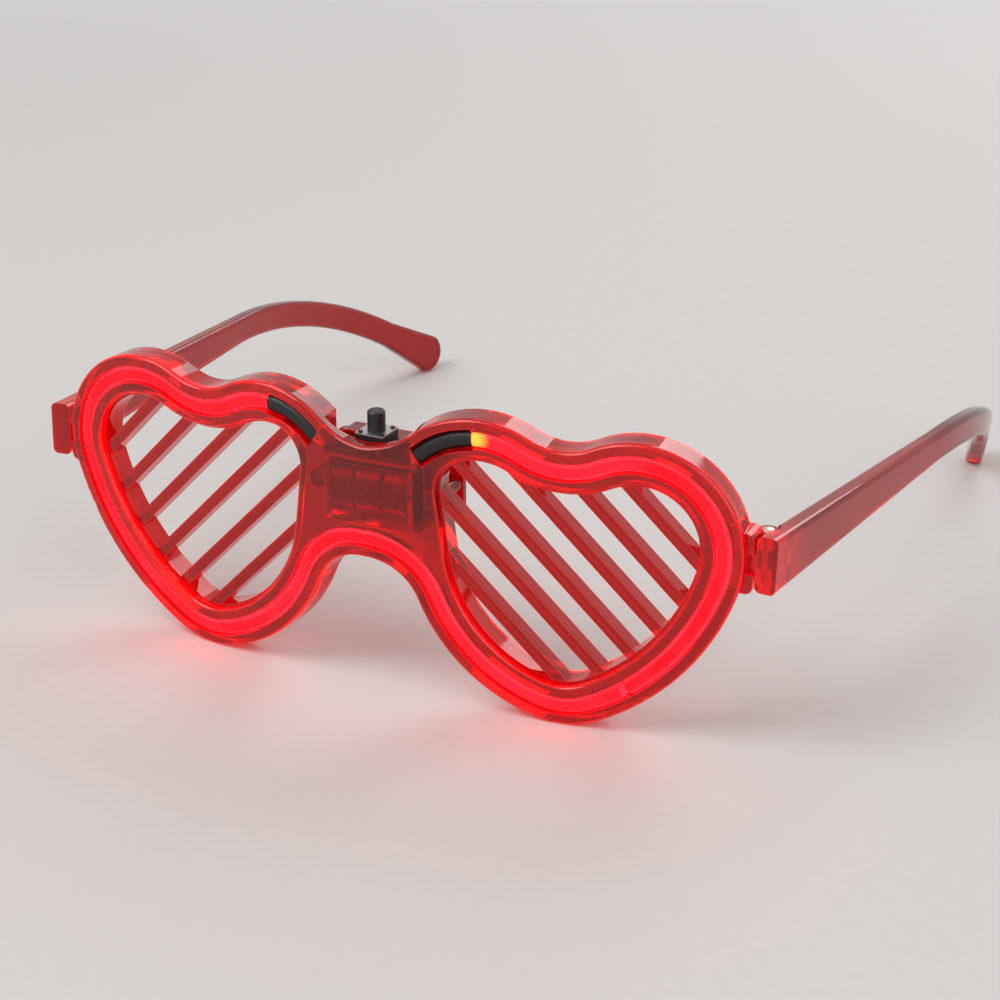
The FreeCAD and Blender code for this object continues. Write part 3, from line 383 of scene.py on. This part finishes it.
def reflowed_solder():
    """Tin solder melted on and left to set: silvery, bright where it ran smooth and frosty where it
    cooled slowly."""
    material, tree, place = start_material("reflowed_tin_solder")
    frost = add(tree, "TexNoise", {"Vector": place, "Scale": every(0.3), "Detail": 4.0})
    colour = add(tree, "Mix", {
        "Factor": frost.outputs["Fac"], "A": linear("A6A7A8"), "B": linear("D3D4D4")}, data_type="RGBA")
    gloss = add(tree, "MapRange", {
        "Value": frost.outputs["Fac"], "From Min": 0.3, "From Max": 0.7, "To Min": 0.16, "To Max": 0.44})
    bump = add(tree, "Bump", {"Height": frost.outputs["Fac"], "Strength": 0.15, "Distance": 0.03 * MM})
    solder = add(tree, "BsdfPrincipled", {
        "Base Color": colour.outputs["Result"], "Metallic": 1.0, "Roughness": gloss.outputs["Result"],
        "Normal": bump.outputs["Normal"]})
    add(tree, "OutputMaterial", {"Surface": solder.outputs["BSDF"]})
    return material


def middle(name):
    """The middle of a node's box."""
    low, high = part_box(name)
    return (low + high) / 2


def unsigned(point):
    """A point without the signs of its coordinates."""
    return tuple(abs(value) for value in point)


# Materials of the CAD nodes
lamp_low, lamp_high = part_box("right_lamp")
hot_end = (lamp_high.x + HOT_OFFSET, lamp_low.y - HOT_OFFSET, lamp_high.z - HOT_OFFSET)
screw_low, screw_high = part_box("cover_screws")
screw_radius = (screw_high.z - screw_low.z) / 2
screw_axis = (screw_high.x - screw_radius, screw_low.y, middle("cover_screws").z)

# The front and the temples get copies of the plastic that differ only in how much painted glow shows on their
# faces
dress(clear_red_acrylic("clear_red_acrylic", FRONT_PAINTED_GLOW),
      "front_frame", "left_slats", "right_slats", "battery_cover")
dress(clear_red_acrylic("clear_red_acrylic_temple", TEMPLE_PAINTED_GLOW), "left_temple", "right_temple")
dress(red_vinyl_light_guide(hot_end), "long_strip", "short_strip")
dress(lamp_epoxy(), "left_lamp", "right_lamp")
dress(black_shrink_tube(), "left_sleeve", "right_sleeve")
dress(black_nylon(), "switch_base", "switch_plunger")
dress(turned_nickel("spun_nickel_cell", "X", unsigned(middle("button_cell_2"))),
      "button_cell_1", "button_cell_2", "button_cell_3")
dress(turned_nickel("turned_nickel_screw", "Y", unsigned(screw_axis)), "cover_screws")
dress(turned_nickel("turned_nickel_pin", "Z", unsigned(middle("right_hinge_pin"))),
      "left_hinge_pin", "right_hinge_pin")
dress(rolled_metal("rolled_nickel_spring_steel", "B4AEA2", "D2CDC4", (4, 4, 0.3)),
      "positive_contact", "negative_contact", "switch_dome")
dress(rolled_metal("rolled_tinned_steel", "A9A9A8", "CDCDCB", (0.3, 5, 5)),
      "switch_cover", "switch_terminals")
dress(rolled_metal("drawn_tinned_wire", "A8A6A2", "CFCDC8", (3, 0.3, 0.3)),
      "left_lamp_leads", "right_lamp_leads")
dress(green_board(), "circuit_board")
dress(black_epoxy(), "driver_chip")


def lead_ends(name):
    """Where the drops of solder sit over the ends of a lamp's two leads on the circuit board."""
    points = [vertex.co for vertex in nodes[name].data.vertices]
    inner = min(abs(point.x) for point in points)
    tips = [point for point in points if abs(point.x) < inner + LEAD_TIP]
    between = sum(point.y for point in tips) / len(tips)
    across = math.copysign(inner + SOLDER_SETBACK, tips[0].x)
    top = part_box("circuit_board")[1].z
    for rows in ([p.y for p in tips if p.y < between], [p.y for p in tips if p.y >= between]):
        yield Vector((across, (min(rows) + max(rows)) / 2, top))


def solder_joints(name, ends):
    """Drops of solder over the ends of leads, each spun from its profile and drawn out along its lead."""
    drops = bmesh.new()
    for end in ends:
        older = set(drops.verts)
        side = [drops.verts.new((radius * MM, 0, height * MM)) for radius, height in SOLDER_PROFILE]
        run = [drops.edges.new(pair) for pair in zip(side, side[1:])]
        bmesh.ops.spin(drops, geom=side + run, cent=(0, 0, 0), axis=(0, 0, 1), angle=math.tau,
                       steps=SOLDER_SIDES, use_merge=True)
        drop = [vertex for vertex in drops.verts if vertex not in older]
        bmesh.ops.scale(drops, vec=(SOLDER_STRETCH, 1, 1), verts=drop)
        bmesh.ops.translate(drops, vec=end, verts=drop)
    bmesh.ops.remove_doubles(drops, verts=drops.verts, dist=SAME_POINT)
    bmesh.ops.recalc_face_normals(drops, faces=drops.faces)
    for face in drops.faces:
        face.smooth = True
    return link_mesh(name, drops, reflowed_solder())


solder = solder_joints("solder_joints", [*lead_ends("left_lamp_leads"), *lead_ends("right_lamp_leads")])
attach(solder, "front")

# Camera
back = Vector((math.sin(CAMERA_AZIMUTH) * math.cos(CAMERA_ELEVATION),
               -math.cos(CAMERA_AZIMUTH) * math.cos(CAMERA_ELEVATION),
               math.sin(CAMERA_ELEVATION)))
lens = bpy.data.cameras.new("camera")
lens.lens = FOCAL_LENGTH
lens.sensor_width = SENSOR_WIDTH
lens.clip_start = NEAREST_SEEN
camera = bpy.data.objects.new("camera", lens)
camera.location = CAMERA_TARGET + back * CAMERA_DISTANCE * MM
camera.rotation_euler = back.to_track_quat("Z", "Y").to_euler()
scene.collection.objects.link(camera)
scene.camera = camera


def softbox(name, place, side, power):
    """A square area lamp that faces the middle of the object."""
    data = bpy.data.lights.new(name, "AREA")
    data.size = side
    data.energy = power
    lamp = bpy.data.objects.new(name, data)
    lamp.location = place
    lamp.rotation_euler = (LIT_POINT - lamp.location).to_track_quat("-Z", "Y").to_euler()
    scene.collection.objects.link(lamp)


softbox("key_light", (-0.5, -0.6, 0.9), side=0.7, power=6.0)
softbox("fill_light", (0.8, -0.4, 0.5), side=0.8, power=2.4)
softbox("rim_light", (0.1, 0.8, 0.7), side=0.6, power=3.2)

backdrop = linear("E9E7E5")


def backdrop_level(tree):
    """Strength of the backdrop: dim as a light, pale where it is seen, mirrored or seen through plastic."""
    rays = add(tree, "LightPath")
    seen = add(tree, "Math", {
        0: rays.outputs["Is Camera Ray"], 1: rays.outputs["Is Glossy Ray"]}, operation="MAXIMUM")
    through = add(tree, "Math", {
        0: seen.outputs["Value"], 1: rays.outputs["Is Transmission Ray"]}, operation="MAXIMUM")
    level = add(tree, "MapRange", {
        "Value": through.outputs["Value"], "To Min": BACKDROP_LIGHT, "To Max": BACKDROP_SEEN})
    return level.outputs["Result"]


def pale_paper():
    """Uncoated pale paper, pressed smooth: matt, with faint fibres. Far from the object it runs out into
    the backdrop."""
    material, tree, place = start_material("pale_paper")
    fibres = add(tree, "TexNoise", {"Vector": place, "Scale": every(3), "Detail": 3.0})
    shade = add(tree, "Mix", {
        "Factor": fibres.outputs["Fac"], "A": linear("DAD8D6"), "B": linear("DEDCDA")}, data_type="RGBA")
    matt = add(tree, "BsdfPrincipled", {"Base Color": shade.outputs["Result"], "Roughness": 0.85})
    reach = add(tree, "VectorMath", {0: place}, operation="LENGTH")
    far = add(tree, "MapRange", {
        "Value": reach.outputs["Value"], "From Min": PAPER_END, "From Max": BACKDROP_START},
        interpolation_type="SMOOTHSTEP")
    haze = add(tree, "Emission", {"Color": backdrop, "Strength": backdrop_level(tree)})
    run_out = add(tree, "MixShader", {
        0: far.outputs["Result"], 1: matt.outputs["BSDF"], 2: haze.outputs["Emission"]})
    add(tree, "OutputMaterial", {"Surface": run_out.outputs["Shader"]})
    return material


sheet = bmesh.new()
bmesh.ops.create_grid(sheet, x_segments=1, y_segments=1, size=FLOOR_HALF)
link_mesh("floor", sheet, pale_paper())

world = bpy.data.worlds.new("studio")
scene.world = world
world.use_nodes = True
world.node_tree.nodes.clear()
sky = add(world.node_tree, "Background", {"Color": backdrop, "Strength": backdrop_level(world.node_tree)})
add(world.node_tree, "OutputWorld", {"Surface": sky.outputs["Background"]})

scene.cycles.max_bounces = BOUNCES
scene.cycles.transmission_bounces = BOUNCES
scene.view_settings.view_transform = "Standard"
